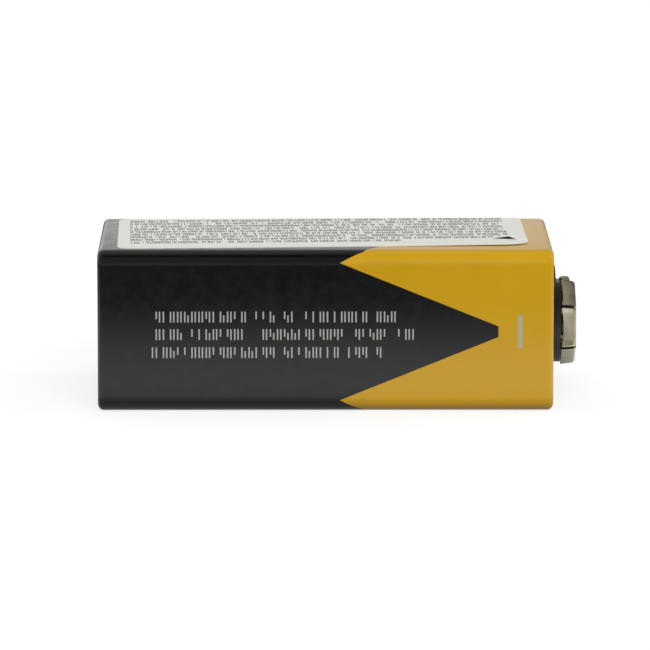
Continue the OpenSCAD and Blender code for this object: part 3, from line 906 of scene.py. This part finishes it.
# Plain light of the room on all that isn't gloss
AMBIENT = 0.4
# Brightness of the room as gloss shows it. By the sine of the height over the horizon, it falls from that of
# the horizon to that of the walls
HORIZON = 0.95
HORIZON_END = 0.15
WALLS = 0.5
WALLS_FROM = 0.38
# The dark of the ceiling lies a little on the camera's side of the zenith. Its edge is given by the cosine of
# the angle from its middle
CEILING = 0.03
CEILING_TILT = math.radians(16)
CEILING_EDGE = 0.965
CEILING_FULL = 0.99
# The side of the camera is dimmer than the side behind the battery, and the right dimmer than the left. Both
# change over a band, given by how far the way reaches to the back or to the right
FRONT = 0.6
FRONT_FULL = -0.3
BACK_FULL = 0.2
RIGHT = 0.5
SIDE_FULL = 0.12


def room():
    """A studio: bright at the horizon, dimmer above, dark overhead, with a plain ambient light."""
    world = bpy.data.worlds.new("studio_room")
    bpy.context.scene.world = world
    world.use_nodes = True
    tree = world.node_tree
    tree.nodes.clear()
    way = add_node(tree, "ShaderNodeTexCoord").outputs["Generated"]
    to_right, to_back, to_sky = add_node(tree, "ShaderNodeSeparateXYZ", inputs={0: way}).outputs[:3]
    walls = add_node(tree, "ShaderNodeMapRange", {"interpolation_type": "SMOOTHSTEP"}, {
        "Value": to_sky, "From Min": HORIZON_END, "From Max": WALLS_FROM,
        "To Min": HORIZON, "To Max": WALLS}).outputs[0]
    overhead = add_node(tree, "ShaderNodeVectorMath", {"operation": "DOT_PRODUCT"}, {
        0: way, 1: (0, -math.sin(CEILING_TILT), math.cos(CEILING_TILT))}).outputs["Value"]
    ceiling = add_node(tree, "ShaderNodeMapRange", {"interpolation_type": "SMOOTHSTEP"}, {
        "Value": overhead, "From Min": CEILING_EDGE, "From Max": CEILING_FULL,
        "To Min": 1.0, "To Max": CEILING}).outputs[0]
    front = add_node(tree, "ShaderNodeMapRange", {"clamp": True}, {
        "Value": to_back, "From Min": FRONT_FULL, "From Max": BACK_FULL, "To Min": FRONT}).outputs[0]
    right = add_node(tree, "ShaderNodeMapRange", {"clamp": True}, {
        "Value": to_right, "From Min": SIDE_FULL, "From Max": -SIDE_FULL, "To Min": RIGHT}).outputs[0]
    path = add_node(tree, "ShaderNodeLightPath")
    in_gloss = add_node(tree, "ShaderNodeMix", {"data_type": "FLOAT"}, {
        0: path.outputs["Is Glossy Ray"], 2: AMBIENT,
        3: both(tree, walls, ceiling, front, right)}).outputs[0]
    strength = add_node(tree, "ShaderNodeMix", {"data_type": "FLOAT"}, {
        0: path.outputs["Is Camera Ray"], 2: in_gloss, 3: 1.0}).outputs[0]
    sky = add_node(tree, "ShaderNodeBackground", inputs={"Color": linear("#FFFFFF"), "Strength": strength})
    add_node(tree, "ShaderNodeOutputWorld", inputs={"Surface": sky.outputs[0]})


def soft_light():
    """Four lamps, in metres and watts: a weak one overhead, and a fill for front, end and back."""
    on_floor, low_down = (0, 0, 0), (0, 0, 0.01)
    softbox("overhead", place=(0.0, 0.15, 0.7), aim=on_floor, size=(0.8, 0.6), power=0.35)
    softbox("front_fill", place=(0.1, -0.8, 0.5), aim=low_down, size=(0.6, 0.5), power=4.8)
    softbox("end_fill", place=(0.85, 0.05, 0.25), aim=low_down, size=(0.6, 0.4), power=2.0)
    softbox("back_fill", place=(-0.2, 0.85, 0.25), aim=low_down, size=(0.6, 0.4), power=1.8)


place_camera()
room()
paper_floor()
soft_light()
slot_finishes = finish_nodes()
jacket_shell(slot_finishes["printed_jacket"])
label_sheet(slot_finishes["label_film"])
snap_socket(slot_finishes["nickel_terminal"])
for node, name, radius, slot in (
        ("positive_stud", "snap_stud", TERMINAL_EDGE, "nickel_terminal"),
        ("top_cover", "terminal_board", BOARD_EDGE, "black_cover"),
        ("bottom_cover", "bottom_plate", BOTTOM_EDGE, "black_cover")):
    soft_edged(node, name, radius, slot_finishes[slot])

bpy.context.scene.view_settings.view_transform = "Standard"
